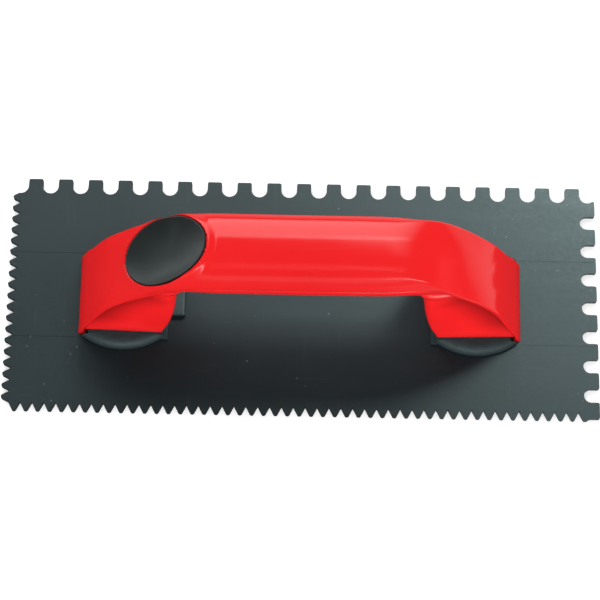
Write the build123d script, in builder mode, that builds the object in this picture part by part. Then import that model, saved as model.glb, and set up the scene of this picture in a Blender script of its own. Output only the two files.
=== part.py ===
from build123d import *
from collections import namedtuple
import math
import os

os.makedirs("parts", exist_ok=True)

# Notched trowel, moulded plastic: a notched blade, a bow handle made of a liner and an
# outer shell, and a thumb pad on the handle's left shoulder. Millimetres, +Z up.
# Origin: centre of the blade's flat working face, which lies in the plane Z = 0.
# +X runs along the 280 mm side. Front is -Y, and back (+Y) is the edge with wide U notches.

# ---------------------------------------------------------------- blade plate
BLADE_L = 280.0
BLADE_W = 116.0
BLADE_T = 2.4

V_PITCH = 5.553          # pitch of the V teeth
V_HALF_ANGLE = 27.25     # half of the angle between two flanks, degrees
V_TIP_R = 1.1            # rounding of a V tooth's tip
V_TIP_X0 = -133.7        # first V tip on the front edge
V_TIPS_X = 49
V_TIP_Y0 = 48.58         # first V tip on the left edge
V_TIPS_Y = 19

U_PITCH = 14.379
U_WIDTH = 7.5            # back edge
U_DEPTH = 7.35
U_X0 = -136.6
U_COUNT_X = 20
U_SIDE_WIDTH = 6.56      # right edge
U_SIDE_DEPTH = 7.2
U_SIDE_Y0 = 54.78
U_COUNT_Y = 9
U_TOOTH_R = 0.8
MOUTH_OVERCUT = 1.0      # how far a notch's cutter reaches beyond the edge

# Rectangles cut off the plate's corners: centre x, centre y, width, height
CORNER_CUTS = [
    (-BLADE_L / 2 + 1.9, -BLADE_W / 2 + 2.0, 3.82, 4.0),   # front left
    (BLADE_L / 2 - 1.5, BLADE_W / 2 - 1.5, 6.0, 6.0),      # back right
    (-BLADE_L / 2 + 1.0, BLADE_W / 2 - 2.0, 4.0, 6.0),     # back left
]

# Witness lines of the mould's side cores
WITNESS_X = 121.5        # distance of their middles from the centre
WITNESS_Y = (20.3, -21.7)
WITNESS_L = 35.0
WITNESS_W = 0.35
WITNESS_DEPTH = 0.1

# ---------------------------------------------------------------- feet, tab, rails
LEG_X = -1.0             # the handle's centre on the blade
LEG_Y = -0.6
FOOT_INNER = 64.0        # ends of a foot, from the handle's centre
FOOT_OUTER = 99.3        # inside the band's skirt
FOOT_HALF = 20.7         # half-width of a foot's block, in Y
FOOT_TOP = 8.0           # the legs stand on the feet at this height
FOOT_FILLET = 4.4
FLANGE_W = 43.6          # low flange round a foot
FLANGE_T = 1.2
FLANGE_LEDGE = 2.0       # how far it runs past the foot's inner end

BULGE_REACH = 27.0       # how far a foot's D front stands out from the centre line
BULGE_HALF = 19.3        # half of the D's chord
BULGE_RISE = BULGE_REACH - FOOT_HALF
BULGE_R = (BULGE_HALF**2 + BULGE_RISE**2) / (2 * BULGE_RISE)
BULGE_CHORD = BULGE_R - BULGE_RISE   # from the disc's centre to the chord
BULGE_CUT = 20.0         # size in Y of the block that keeps the slice

TAB_X = LEG_X - 59.0
TAB_L = 10.0
TAB_W = 20.0
TAB_H = 3.0
TAB_FILLET = 1.2

RAIL_XS = (LEG_X - 75.3, LEG_X + 89.0)
RAIL_LEN = 12.0
RAIL_WEB_HALF = 6.0      # half-width of the rail's web, in Y
RAIL_HEAD_HALF = 9.5
RAIL_HEAD_T = 2.6
RAIL_HEAD_R = 1.5
SOLE_T = 3.0             # floor of a leg, which the rail hooks over
SLIDE = 13.2             # travel that brings the handle off its rails
CLEAR = 0.3

# ---------------------------------------------------------------- handle
WALL = 2.4
SEAM_GAP = 0.26
SEAM_OVERLAP = 1.0       # the shell's cavity starts this far below the joint
CAVITY_OVERLAP = 2.0     # the liner's cavity reaches at least this far above the joint
KAPPA = 0.5523           # Bezier handle length of a quarter ellipse
STATION_STEP = 4.0       # widest spacing of sections in a loft

GRIP_H = 25.6            # height of the rounded grip's section
GRIP_MID = 14.0          # height of its widest line above the underside
GRIP_HALF = 18.2         # its half-width
GRIP_FLAT = 9.0          # half-width of its flat underside

PEG_XS = (LEG_X - 24.0, LEG_X + 24.0)
PEG_R = 2.15
PEG_Z = 57.0             # the peg's lower end
PEG_L = 17.5
SOCKET_R = 4.2
SOCKET_Z = 52.0
SOCKET_H = 11.0
BORE_R = 2.3
BORE_Z = 54.0
BORE_DEPTH = 12.0

# The handle is a bow. Each station is a cross-section in a plane that holds the Y
# direction and turns about the inner side of the bow, from level at a leg's foot to
# upright in the grip. Columns:
#   pivot x, pivot z : inner side of the bow (x from the handle's centre)
#   turn             : angle of the section above level, degrees
#   depth            : distance from the pivot to the front and back edge of the outer band
#   w_in, r_in       : half-width at the inner side and its corner radius
#   w_out            : half-width at the band's edge
#   crown            : rise of the band's middle over its edges
#   seam             : distance from the pivot to the joint between shell and liner
#   recess           : set-back of the liner's flank under the band's edge
#   rnd              : 0 = flat flanks with a crisp edge, 1 = fully rounded grip
Station = namedtuple(
    "Station", "pivot_x pivot_z turn depth w_in r_in w_out crown seam recess rnd"
)
LEFT = [
    (-64.2, 8.0, 0.0, 37.99, 20.0, 1.5, 19.40, 0.00, 35.8, 0.3, 0.00),
    (-61.2, 15.5, 3.0, 36.77, 19.4, 2.0, 18.49, 0.28, 34.4, 1.7, 0.00),
    (-58.6, 27.0, 9.0, 32.86, 18.8, 2.5, 17.72, 0.00, 29.7, 2.6, 0.00),
    (-57.0, 37.0, 18.0, 25.49, 18.2, 3.0, 17.35, 1.84, 22.2, 2.4, 0.02),
    (-56.2, 44.0, 30.0, 18.79, 17.6, 3.5, 17.43, 3.82, 13.4, 1.4, 0.08),
    (-55.4, 48.2, 44.0, 14.72, 16.6, 4.0, 17.86, 4.77, 9.6, 0.5, 0.20),
    (-53.9, 50.4, 58.0, 12.55, 15.0, 5.0, 18.32, 5.13, 9.6, 0.0, 0.40),
    (-51.0, 51.0, 72.0, 12.91, 14.0, 6.0, 18.44, 4.67, 11.6, 0.0, 0.65),
    (-46.0, 51.0, 84.0, 15.66, 13.0, 7.0, 18.07, 4.97, 13.6, 0.0, 0.88),
    (-38.0, 50.8, 90.0, 17.50, 12.0, 8.0, 17.30, 7.00, 14.6, 0.0, 1.00),
    (-19.0, 50.6, 90.0, 18.00, 12.0, 8.0, 17.30, 7.00, 14.8, 0.0, 1.00),
    (0.0, 50.5, 90.0, 17.80, 12.0, 8.0, 17.30, 7.00, 14.8, 0.0, 1.00),
]
RIGHT = [
    (19.0, 50.6, 90.0, 18.00, 12.0, 8.0, 17.20, 7.00, 14.8, 0.0, 1.00),
    (38.0, 50.8, 90.0, 17.53, 12.0, 8.0, 17.20, 7.00, 14.6, 0.0, 0.97),
    (46.0, 51.0, 84.0, 18.80, 13.0, 7.0, 17.67, 4.29, 13.8, 0.0, 0.80),
    (51.0, 51.0, 72.0, 17.88, 14.0, 6.0, 17.70, 3.50, 12.8, 0.0, 0.50),
    (53.9, 50.4, 58.0, 17.16, 15.0, 5.0, 17.32, 3.53, 12.9, 0.2, 0.25),
    (55.4, 48.2, 44.0, 18.52, 16.6, 4.0, 17.02, 3.22, 14.6, 0.9, 0.08),
    (56.2, 44.0, 30.0, 22.05, 17.6, 3.5, 16.73, 2.24, 18.6, 1.8, 0.02),
    (57.0, 37.0, 18.0, 27.94, 18.2, 3.0, 16.39, 0.78, 24.7, 2.6, 0.00),
    (58.6, 27.0, 9.0, 33.74, 18.8, 2.5, 16.71, 0.00, 31.1, 2.6, 0.00),
    (61.2, 15.5, 3.0, 36.83, 19.4, 2.0, 18.02, 0.37, 35.2, 1.7, 0.00),
    (64.2, 8.0, 0.0, 37.96, 20.0, 1.5, 19.40, 0.00, 35.8, 0.3, 0.00),
]
# The outer band alone runs on past the foot's top, to just above the plate.
LEFT_SKIRT = (-64.2, 2.6, 0.0, 40.15, 20.0, 1.5, 19.6, 0.0, 37.9, 0.3, 0.00)
RIGHT_SKIRT = (64.2, 2.6, 0.0, 40.15, 20.0, 1.5, 19.6, 0.0, 37.9, 0.3, 0.00)
# The liner's cavity ends on top of the soles.
LEFT_SOLE = (-62.9, FOOT_TOP + SOLE_T, 0.0, 37.5, 19.7, 1.5, 19.2, 0.1, 35.3, 0.7, 0.0)
RIGHT_SOLE = (62.9, FOOT_TOP + SOLE_T, 0.0, 37.6, 19.7, 1.5, 19.2, 0.0, 35.4, 0.7, 0.0)

# ---------------------------------------------------------------- thumb pad
PAD_X = -65.6            # where the pad's axis meets the shoulder
PAD_Z = 67.0
PAD_TILT = 37.0          # slope of the pad along X
PAD_A = 22.2             # half-length along the slope
PAD_B = 15.6             # half-width across the handle
PAD_FLOOR = 8.0          # pocket floor below the shoulder's crest
PAD_CLEAR = 0.15         # gap round the pad
PAD_LIFT = 0.1           # gap under the pad
PAD_H = 14.0             # height of the pad's and the cup's blanks, before trimming
PAD_DISH = 6.7           # deepest point of the thumb dish below the crest
PAD_DISH_R = 60.0
CUP_WALL_A = 1.8         # the cup's rim beyond the pocket, along and across
CUP_WALL_B = 1.4
CUP_FLOOR_T = 1.6
POCKET_H = 20.0
STUDS = [(-9.0, 0), (9.0, 0)]
STUD_R = 1.85
STUD_DROP = 2.6          # the studs' lower ends, below the pocket floor
STUD_L = 4.0
STUD_HOLE_R = 2.0
STUD_HOLE_DROP = 4.0
STUD_HOLE_L = 6.0


# ================================================================ bow sections
def side_of(station):
    """-1 on the left half of the bow, its middle included, and 1 on the right half."""
    return -1.0 if station.pivot_x <= 0 else 1.0


def slopes(xs, ys):
    """Monotone cubic slopes, so that a blended column never overshoots its rows."""
    steps = [b - a for a, b in zip(xs, xs[1:])]
    grades = [(b - a) / step for a, b, step in zip(ys, ys[1:], steps)]
    out = [grades[0]]
    for i in range(1, len(grades)):
        before, after = grades[i - 1], grades[i]
        if before * after <= 0:
            out.append(0.0)
        else:
            weight_before = 2 * steps[i] + steps[i - 1]
            weight_after = steps[i] + 2 * steps[i - 1]
            total = weight_before + weight_after
            out.append(total / (weight_before / before + weight_after / after))
    return out + [grades[-1]]


def filled(rows):
    """The stations with blended ones between them, no further apart than STATION_STEP."""
    stations = [Station(*row) for row in rows]
    mids = []
    for st in stations:
        turn, half = math.radians(st.turn), st.depth / 2
        mid_x = st.pivot_x + side_of(st) * half * math.cos(turn)
        mids.append((mid_x, st.pivot_z + half * math.sin(turn)))
    travel = [0.0]
    for start, end in zip(mids, mids[1:]):
        travel.append(travel[-1] + math.dist(start, end))
    columns = list(zip(*stations))
    grades = [slopes(travel, column) for column in columns]
    out = [stations[0]]
    for i in range(len(stations) - 1):
        gap = travel[i + 1] - travel[i]
        parts = max(2, math.ceil(gap / STATION_STEP))
        for k in range(1, parts + 1):
            # weights of a cubic Hermite blend
            t = k / parts
            start, start_grade = (1 + 2 * t) * (1 - t) ** 2, t * (1 - t) ** 2 * gap
            end, end_grade = t * t * (3 - 2 * t), t * t * (t - 1) * gap
            blended = [
                start * col[i] + start_grade * grade[i]
                + end * col[i + 1] + end_grade * grade[i + 1]
                for col, grade in zip(columns, grades)
            ]
            out.append(Station(*blended))
    return out


def station_plane(st):
    """The section's plane: local x = across the handle (Y), local y = outward from the pivot."""
    turn = math.radians(st.turn)
    out = Vector(side_of(st) * math.cos(turn), 0, math.sin(turn))
    across = Vector(0, 1, 0)
    return Plane(
        origin=(LEG_X + st.pivot_x, LEG_Y, st.pivot_z), x_dir=across, z_dir=across.cross(out)
    )


def mix(start, end, t):
    return tuple(p * (1 - t) + q * t for p, q in zip(start, end))


def split_bezier(pts, t):
    """Both halves of a cubic cut at t."""
    a, b, c = mix(pts[0], pts[1], t), mix(pts[1], pts[2], t), mix(pts[2], pts[3], t)
    d, e = mix(a, b, t), mix(b, c, t)
    cut = mix(d, e, t)
    return [pts[0], a, d, cut], [cut, e, c, pts[3]]


def cut_height(pts, height):
    """Parameter at which a rising cubic reaches a height."""
    low, high = 0.0, 1.0
    for _ in range(50):
        mid = (low + high) / 2
        if split_bezier(pts, mid)[1][0][1] < height:
            low = mid
        else:
            high = mid
    return (low + high) / 2


def half_section(st, inset=0.0):
    """Control points (across, out) of a half section: corner, flank and top curves."""
    slope = (st.w_out - st.w_in) / st.depth
    flank_foot = (st.w_in + slope * st.r_in, st.r_in)
    edge = (st.w_out, st.depth)
    crest = st.depth + st.crown
    box_corner = [
        (st.w_in - st.r_in, 0),
        (st.w_in - st.r_in + KAPPA * st.r_in, 0),
        (st.w_in + slope * (1 - KAPPA) * st.r_in, (1 - KAPPA) * st.r_in),
        flank_foot,
    ]
    box_flank = [mix(flank_foot, edge, k / 3) for k in range(4)]
    box_top = [
        edge,
        (st.w_out * 2 / 3, st.depth + st.crown * 2 / 3),
        (st.w_out / 3, crest),
        (0, crest),
    ]
    # the grip's upper quarter ellipse, halved into flank and top
    grip_flank, grip_top = split_bezier(
        [
            (GRIP_HALF, GRIP_MID),
            (GRIP_HALF, GRIP_MID + KAPPA * (GRIP_H - GRIP_MID)),
            (KAPPA * GRIP_HALF, GRIP_H),
            (0, GRIP_H),
        ],
        0.5,
    )
    grip_corner = [
        (GRIP_FLAT, 0),
        (GRIP_FLAT + KAPPA * (GRIP_HALF - GRIP_FLAT), 0),
        (GRIP_HALF, GRIP_MID * (1 - KAPPA)),
        (GRIP_HALF, GRIP_MID),
    ]
    pairs = [(box_corner, grip_corner), (box_flank, grip_flank), (box_top, grip_top)]
    curves = [[mix(p, q, st.rnd) for p, q in zip(box, grip)] for box, grip in pairs]
    if inset:
        corner, side, top = curves
        scale_x = 1 - inset / max(p[0] for p in corner + side)
        scale_y = 1 - 2 * inset / top[3][1]
        curves = [[(x * scale_x, inset + y * scale_y) for x, y in pts] for pts in curves]
    return curves


def section_face(st, half, flat_top=False):
    """A closed section on its station's plane, from the cubics of its +Y half.
    The edges are kept one by one, so that every section has the same count for the loft."""
    plane = station_plane(st)

    def at(x, y):
        return plane.from_local_coords(Vector(x, y, 0))

    x, y = half[0][0]
    edges = [Line(at(-x, y), at(x, y), mode=Mode.PRIVATE)]
    for pts in half:
        edges.append(Bezier(*[at(x, y) for x, y in pts], mode=Mode.PRIVATE))
    if flat_top:
        x, y = half[-1][3]
        edges.append(Line(at(x, y), at(-x, y), mode=Mode.PRIVATE))
    for pts in reversed(half):
        edges.append(Bezier(*[at(-x, y) for x, y in reversed(pts)], mode=Mode.PRIVATE))
    return Face(Wire(edges))


def shell_section(st, inset=0.0):
    """The shell's section, above the seam."""
    _, side, top = half_section(st, inset)
    seam = st.seam + (-SEAM_OVERLAP if inset else SEAM_GAP)
    _, upper = split_bezier(side, cut_height(side, seam))
    return section_face(st, [upper, top])


def liner_section(st, inset=0.0):
    """The liner's section, below the seam. Its flank is set back under the band."""
    corner, side, _ = half_section(st, inset)
    if inset:
        end_x, end_y = side[3]
        lower = side[:3] + [(end_x, max(st.seam + CAVITY_OVERLAP, end_y))]
    else:
        lower, _ = split_bezier(side, min(0.999, cut_height(side, st.seam)))
    lower[2] = (lower[2][0] - st.recess * 0.9, lower[2][1])
    lower[3] = (lower[3][0] - st.recess, lower[3][1])
    return section_face(st, [corner, lower], flat_top=True)


# ================================================================ blade
def v_comb(count):
    """A row of V notches in one outline: tips on y = 0, valleys up inside the plate."""
    flank = math.radians(V_HALF_ANGLE)
    half_arc = math.radians((90 - V_HALF_ANGLE) / 2)
    depth = V_PITCH / 2 / math.tan(flank) - V_TIP_R * (1 / math.sin(flank) - 1)
    tangent_x, tangent_y = V_TIP_R * math.cos(flank), V_TIP_R - V_TIP_R * math.sin(flank)
    arc_x, arc_y = V_TIP_R * math.sin(half_arc), V_TIP_R - V_TIP_R * math.cos(half_arc)
    length = count * V_PITCH
    with BuildSketch() as comb:
        with BuildLine():
            for i in range(count):
                left, right = i * V_PITCH, (i + 1) * V_PITCH
                valley = ((i + 0.5) * V_PITCH, depth)
                left_tangent = (left + tangent_x, tangent_y)
                right_tangent = (right - tangent_x, tangent_y)
                ThreePointArc((left, 0), (left + arc_x, arc_y), left_tangent)
                Line(left_tangent, valley)
                Line(valley, right_tangent)
                ThreePointArc(right_tangent, (right - arc_x, arc_y), (right, 0))
            Line((length, 0), (length, -MOUTH_OVERCUT))
            Line((length, -MOUTH_OVERCUT), (0, -MOUTH_OVERCUT))
            Line((0, -MOUTH_OVERCUT), (0, 0))
        make_face()
    return comb.sketch


def u_notch(width, depth):
    """A round-bottomed notch, mouth along y = 0, with the teeth beside it rounded."""
    half = width / 2
    mouth = half + U_TOOTH_R
    arc = U_TOOTH_R * (1 - math.sqrt(0.5))
    with BuildSketch() as notch:
        with BuildLine():
            Line((-mouth, -MOUTH_OVERCUT), (-mouth, 0))
            ThreePointArc((-mouth, 0), (-half - arc, arc), (-half, U_TOOTH_R))
            Line((-half, U_TOOTH_R), (-half, depth - half))
            ThreePointArc((-half, depth - half), (0, depth), (half, depth - half))
            Line((half, depth - half), (half, U_TOOTH_R))
            ThreePointArc((half, U_TOOTH_R), (half + arc, arc), (mouth, 0))
            Line((mouth, 0), (mouth, -MOUTH_OVERCUT))
            Line((mouth, -MOUTH_OVERCUT), (-mouth, -MOUTH_OVERCUT))
        make_face()
    return notch.sketch


def make_bulge():
    """A foot's rounded D front: a slice off a domed disc, beyond a chord on its -Y side."""
    with BuildPart() as bulge:
        with BuildSketch():
            Circle(BULGE_R)
        extrude(amount=FOOT_TOP - BLADE_T)
        fillet(edges().group_by(Axis.Z)[-1], radius=FOOT_FILLET)
        with BuildSketch():
            with Locations((0, -BULGE_CHORD - BULGE_CUT / 2)):
                Rectangle(2 * BULGE_HALF, BULGE_CUT)
        extrude(amount=FOOT_TOP, mode=Mode.INTERSECT)
    return bulge.part


def make_blade():
    u_back = u_notch(U_WIDTH, U_DEPTH)
    u_side = u_notch(U_SIDE_WIDTH, U_SIDE_DEPTH)
    bulge = make_bulge()
    with BuildPart() as blade:
        with BuildSketch():
            Rectangle(BLADE_L, BLADE_W)
            # front edge: a V notch before each tip
            with Locations(Location((V_TIP_X0 - V_PITCH, -BLADE_W / 2), 0)):
                add(v_comb(V_TIPS_X), mode=Mode.SUBTRACT)
            # left edge: a V notch before each tip and one after the last
            with Locations(Location((-BLADE_L / 2, V_TIP_Y0 + V_PITCH), -90)):
                add(v_comb(V_TIPS_Y + 1), mode=Mode.SUBTRACT)
            # back edge
            with Locations(
                *[Location((U_X0 + U_PITCH * i, BLADE_W / 2), 180) for i in range(U_COUNT_X)]
            ):
                add(u_back, mode=Mode.SUBTRACT)
            # right edge
            with Locations(
                *[Location((BLADE_L / 2, U_SIDE_Y0 - U_PITCH * i), 90) for i in range(U_COUNT_Y)]
            ):
                add(u_side, mode=Mode.SUBTRACT)
            for x, y, width, height in CORNER_CUTS:
                with Locations((x, y)):
                    Rectangle(width, height, mode=Mode.SUBTRACT)
        extrude(amount=BLADE_T)

        foot_len = FOOT_OUTER - FOOT_INNER
        foot_mid = (FOOT_INNER + FOOT_OUTER) / 2
        for side, rail_x in zip((-1, 1), RAIL_XS):
            # low flange round the foot
            with BuildSketch(Plane.XY.offset(BLADE_T)):
                with Locations((LEG_X + side * (foot_mid - FLANGE_LEDGE / 2), LEG_Y)):
                    Rectangle(foot_len + FLANGE_LEDGE, FLANGE_W)
            extrude(amount=FLANGE_T)
            # foot: a block with a D-shaped bulge to the front and to the back
            with BuildSketch(Plane.XY.offset(BLADE_T)):
                with Locations((LEG_X + side * foot_mid, LEG_Y)):
                    Rectangle(foot_len, 2 * FOOT_HALF)
            extrude(amount=FOOT_TOP - BLADE_T)
            bulge_x = LEG_X + side * (FOOT_INNER + BULGE_HALF)
            shift = FOOT_HALF - BULGE_CHORD
            with Locations(
                Location((bulge_x, LEG_Y - shift, BLADE_T), (0, 0, 0)),
                Location((bulge_x, LEG_Y + shift, BLADE_T), (0, 0, 180)),
            ):
                add(bulge)
            # T rail: web and head
            with BuildSketch(Plane.XY.offset(FOOT_TOP)):
                with Locations((rail_x, LEG_Y)):
                    Rectangle(RAIL_LEN, 2 * RAIL_WEB_HALF)
            extrude(amount=SOLE_T + CLEAR)
            with BuildSketch(Plane.XY.offset(FOOT_TOP + SOLE_T + CLEAR)):
                with Locations((rail_x, LEG_Y)):
                    RectangleRounded(RAIL_LEN, 2 * RAIL_HEAD_HALF, RAIL_HEAD_R)
            extrude(amount=RAIL_HEAD_T)

        # lock tab: a springy tongue at the inner side of the left leg
        with BuildSketch(Plane.XY.offset(BLADE_T)):
            with Locations((TAB_X, LEG_Y)):
                Rectangle(TAB_L, TAB_W)
        extrude(amount=TAB_H)
        tab_edges = (
            edges()
            .filter_by(Axis.Y)
            .filter_by(lambda e: abs(e.center().X - (TAB_X + TAB_L / 2)) < 1e-3)
            .filter_by(lambda e: abs(e.center().Z - BLADE_T - TAB_H) < 1e-3)
        )
        fillet(tab_edges, radius=TAB_FILLET)

        # faint witness lines between the feet and the short edges
        with BuildSketch(Plane.XY.offset(BLADE_T)):
            for side in (-1, 1):
                for y in WITNESS_Y:
                    with Locations((side * WITNESS_X, y)):
                        Rectangle(WITNESS_L, WITNESS_W)
        extrude(amount=-WITNESS_DEPTH, mode=Mode.SUBTRACT)
    return blade.part


# ================================================================ liner
def make_liner(stations):
    cavity = filled([LEFT_SOLE] + LEFT[1:] + RIGHT[:-1] + [RIGHT_SOLE])
    with BuildPart() as liner:
        loft(sections=[liner_section(st) for st in stations])
        loft(sections=[liner_section(st, inset=WALL) for st in cavity], mode=Mode.SUBTRACT)
        # keyhole slots in the soles: wide where the rail's head drops in, narrow where it holds
        for rail_x in RAIL_XS:
            with BuildSketch(Plane.XY.offset(FOOT_TOP - 1)):
                with Locations((rail_x - SLIDE / 2, LEG_Y)):
                    Rectangle(RAIL_LEN + SLIDE + 2 * CLEAR, 2 * (RAIL_WEB_HALF + CLEAR))
                with Locations((rail_x - SLIDE, LEG_Y)):
                    Rectangle(RAIL_LEN + 2 * CLEAR, 2 * (RAIL_HEAD_HALF + CLEAR))
            extrude(amount=SOLE_T + 1.5, mode=Mode.SUBTRACT)
        # sockets that take the shell's pegs
        for x in PEG_XS:
            with BuildSketch(Plane.XY.offset(SOCKET_Z)):
                with Locations((x, LEG_Y)):
                    Circle(SOCKET_R)
            extrude(amount=SOCKET_H)
            with BuildSketch(Plane.XY.offset(BORE_Z)):
                with Locations((x, LEG_Y)):
                    Circle(BORE_R)
            extrude(amount=BORE_DEPTH, mode=Mode.SUBTRACT)
    return liner.part


# ================================================================ shell
def pad_plane(depth):
    """Plane of the pad, a depth below the crest of the shoulder; local x runs up the slope."""
    tilt = math.radians(PAD_TILT)
    normal = Vector(-math.sin(tilt), 0, math.cos(tilt))
    return Plane(
        origin=Vector(PAD_X, LEG_Y, PAD_Z) - normal * depth,
        x_dir=Vector(math.cos(tilt), 0, math.sin(tilt)),
        z_dir=normal,
    )


def make_bow(stations):
    """The shell's outer form, still solid."""
    with BuildPart() as bow:
        loft(sections=[shell_section(st) for st in stations])
    return bow.part


def make_shell(bow):
    cavity = filled(LEFT[5:] + RIGHT[:6])
    with BuildPart() as shell:
        add(bow)
        loft(sections=[shell_section(st, inset=WALL) for st in cavity], mode=Mode.SUBTRACT)
        # cup that carries the pad, kept inside the bow's outline
        with BuildSketch(pad_plane(PAD_FLOOR + CUP_FLOOR_T)):
            Ellipse(PAD_A + CUP_WALL_A, PAD_B + CUP_WALL_B)
        cup = extrude(amount=PAD_H, mode=Mode.PRIVATE)
        add(cup & bow)
        # pocket for the pad
        with BuildSketch(pad_plane(PAD_FLOOR)):
            Ellipse(PAD_A, PAD_B)
        extrude(amount=POCKET_H, mode=Mode.SUBTRACT)
        # holes for the pad's two retaining studs
        with BuildSketch(pad_plane(PAD_FLOOR + STUD_HOLE_DROP)):
            with Locations(*STUDS):
                Circle(STUD_HOLE_R)
        extrude(amount=STUD_HOLE_L, mode=Mode.SUBTRACT)
        # pegs that enter the liner's sockets
        for x in PEG_XS:
            with BuildSketch(Plane.XY.offset(PEG_Z)):
                with Locations((x, LEG_Y)):
                    Circle(PEG_R)
            extrude(amount=PEG_L)
    return shell.part


# ================================================================ thumb pad
def make_pad(bow):
    with BuildPart() as pad:
        with BuildSketch(pad_plane(PAD_FLOOR - PAD_LIFT)):
            Ellipse(PAD_A - PAD_CLEAR, PAD_B - PAD_CLEAR)
        extrude(amount=PAD_H)
        add(bow, mode=Mode.INTERSECT)
        # studs pressed through the cup's floor
        with BuildSketch(pad_plane(PAD_FLOOR + STUD_DROP)):
            with Locations(*STUDS):
                Circle(STUD_R)
        extrude(amount=STUD_L)
        # thumb dish, cut by a sphere
        dish = pad_plane(PAD_DISH - PAD_DISH_R)
        with BuildSketch(Plane(origin=dish.origin, x_dir=dish.x_dir, z_dir=dish.y_dir)):
            with BuildLine():
                CenterArc((0, 0), PAD_DISH_R, -90, 180)
                Line((0, -PAD_DISH_R), (0, PAD_DISH_R))
            make_face()
        revolve(axis=Axis(dish.origin, dish.z_dir), revolution_arc=360, mode=Mode.SUBTRACT)
    return pad.part


def save(part, name):
    part.label = name
    export_step(part, f"parts/{name}.step")


shell_stations = filled([LEFT_SKIRT] + LEFT + RIGHT + [RIGHT_SKIRT])
liner_stations = [st for st in shell_stations if st.pivot_z > FOOT_TOP - 1e-6]
solid_bow = make_bow(shell_stations)

save(make_blade(), "notched_blade")
save(make_liner(liner_stations), "handle_liner")
save(make_shell(solid_bow), "handle_shell")
save(make_pad(solid_bow), "thumb_pad")
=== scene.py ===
"""A notched blade lying flat, with a red bow handle standing over it and a rubber thumb pad.

The handle runs along X from the left leg (-X) over the grip to the right leg (+X). The pad lies
in a pocket on its left shoulder. Front is -Y and up is +Z. Shapes are worked out in mm and
scaled to metres when a mesh is made; materials, lights and the camera are in metres.
"""

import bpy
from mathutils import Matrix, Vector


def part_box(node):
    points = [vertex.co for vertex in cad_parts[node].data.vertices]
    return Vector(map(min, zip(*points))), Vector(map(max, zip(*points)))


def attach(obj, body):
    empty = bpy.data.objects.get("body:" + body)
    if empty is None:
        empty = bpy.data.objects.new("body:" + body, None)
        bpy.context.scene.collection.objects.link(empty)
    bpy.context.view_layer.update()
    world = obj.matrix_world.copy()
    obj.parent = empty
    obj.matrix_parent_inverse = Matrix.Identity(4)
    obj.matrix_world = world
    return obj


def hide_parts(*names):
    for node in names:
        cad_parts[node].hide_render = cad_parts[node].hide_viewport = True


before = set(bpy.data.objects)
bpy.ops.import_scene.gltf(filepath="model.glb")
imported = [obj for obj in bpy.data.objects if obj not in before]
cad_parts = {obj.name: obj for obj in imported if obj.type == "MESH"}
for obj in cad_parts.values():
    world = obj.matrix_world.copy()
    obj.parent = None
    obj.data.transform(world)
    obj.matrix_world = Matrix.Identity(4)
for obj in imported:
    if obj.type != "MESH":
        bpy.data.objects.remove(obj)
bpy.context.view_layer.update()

import math
from functools import cached_property

import bmesh
import bpy
import numpy as np
from mathutils import Matrix, Vector
from mathutils.bvhtree import BVHTree
from mathutils.kdtree import KDTree

MM = 0.001
KAPPA = 0.5523                       # Bezier handle length of a quarter circle

# ------------------------------------------------------------------ handle dimensions (mm)
liner_lo, liner_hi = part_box("handle_liner")
blade_lo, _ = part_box("notched_blade")
HANDLE_X = (liner_lo[0] + liner_hi[0]) / 2 / MM
HANDLE_Y = (liner_lo[1] + liner_hi[1]) / 2 / MM
FOOT_TOP = liner_lo[2] / MM

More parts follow.
